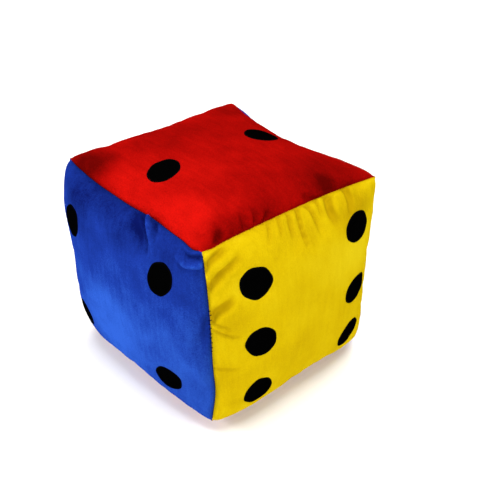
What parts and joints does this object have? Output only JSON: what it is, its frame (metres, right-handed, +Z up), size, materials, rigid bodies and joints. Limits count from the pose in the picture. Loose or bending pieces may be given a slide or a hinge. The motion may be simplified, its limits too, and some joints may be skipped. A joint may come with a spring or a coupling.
{
  "type": "soft play die",
  "caption": "Soft stuffed cube-shaped play die, sewn from crowned square plush panels with round black spots stitched to each face, turned-in seams and a fibre filling.",
  "frame": {"origin": "on the floor plane, under the middle of the die's box", "axes": "+Z up through the middle of the two, -Y out through the four, +X out through the six; the die stands on its five, the three faces +Y and the one faces -X"},
  "size_m": [0.2235, 0.2235, 0.2075],
  "materials": {
    "plush_red": "short-pile plush, soft sheen",
    "plush_blue": "short-pile plush, soft sheen",
    "plush_yellow": "short-pile plush, soft sheen",
    "spot_felt": "matt black felt",
    "spot_thread": "black satin stitch",
    "seam_thread": "dark sewing thread",
    "filling": "white polyester fibre"
  },
  "bodies": {
    "root": {"panel_one": "plush_yellow", "panel_two": "plush_red", "panel_three": "plush_blue", "panel_four": "plush_blue", "panel_five": "plush_red", "panel_six": "plush_yellow", "spot_one_1": "spot_felt", "spot_stitching_one": "spot_thread", "spot_two_1": "spot_felt", "spot_two_2": "spot_felt", "spot_stitching_two": "spot_thread", "spot_three_1": "spot_felt", "spot_three_2": "spot_felt", "spot_three_3": "spot_felt", "spot_stitching_three": "spot_thread", "spot_four_1": "spot_felt", "spot_four_2": "spot_felt", "spot_four_3": "spot_felt", "spot_four_4": "spot_felt", "spot_stitching_four": "spot_thread", "spot_five_1": "spot_felt", "spot_five_2": "spot_felt", "spot_five_3": "spot_felt", "spot_five_4": "spot_felt", "spot_five_5": "spot_felt", "spot_stitching_five": "spot_thread", "spot_six_1": "spot_felt", "spot_six_2": "spot_felt", "spot_six_3": "spot_felt", "spot_six_4": "spot_felt", "spot_six_5": "spot_felt", "spot_six_6": "spot_felt", "spot_stitching_six": "spot_thread", "seam_thread_one_two": "seam_thread", "seam_thread_one_three": "seam_thread", "seam_thread_one_four": "seam_thread", "seam_thread_one_five": "seam_thread", "seam_thread_two_three": "seam_thread", "seam_thread_two_four": "seam_thread", "seam_thread_two_six": "seam_thread", "seam_thread_three_five": "seam_thread", "seam_thread_three_six": "seam_thread", "seam_thread_four_five": "seam_thread", "seam_thread_four_six": "seam_thread", "seam_thread_five_six": "seam_thread", "closing_stitches": "seam_thread", "stuffing": "filling"}
  },
  "joints": []
}
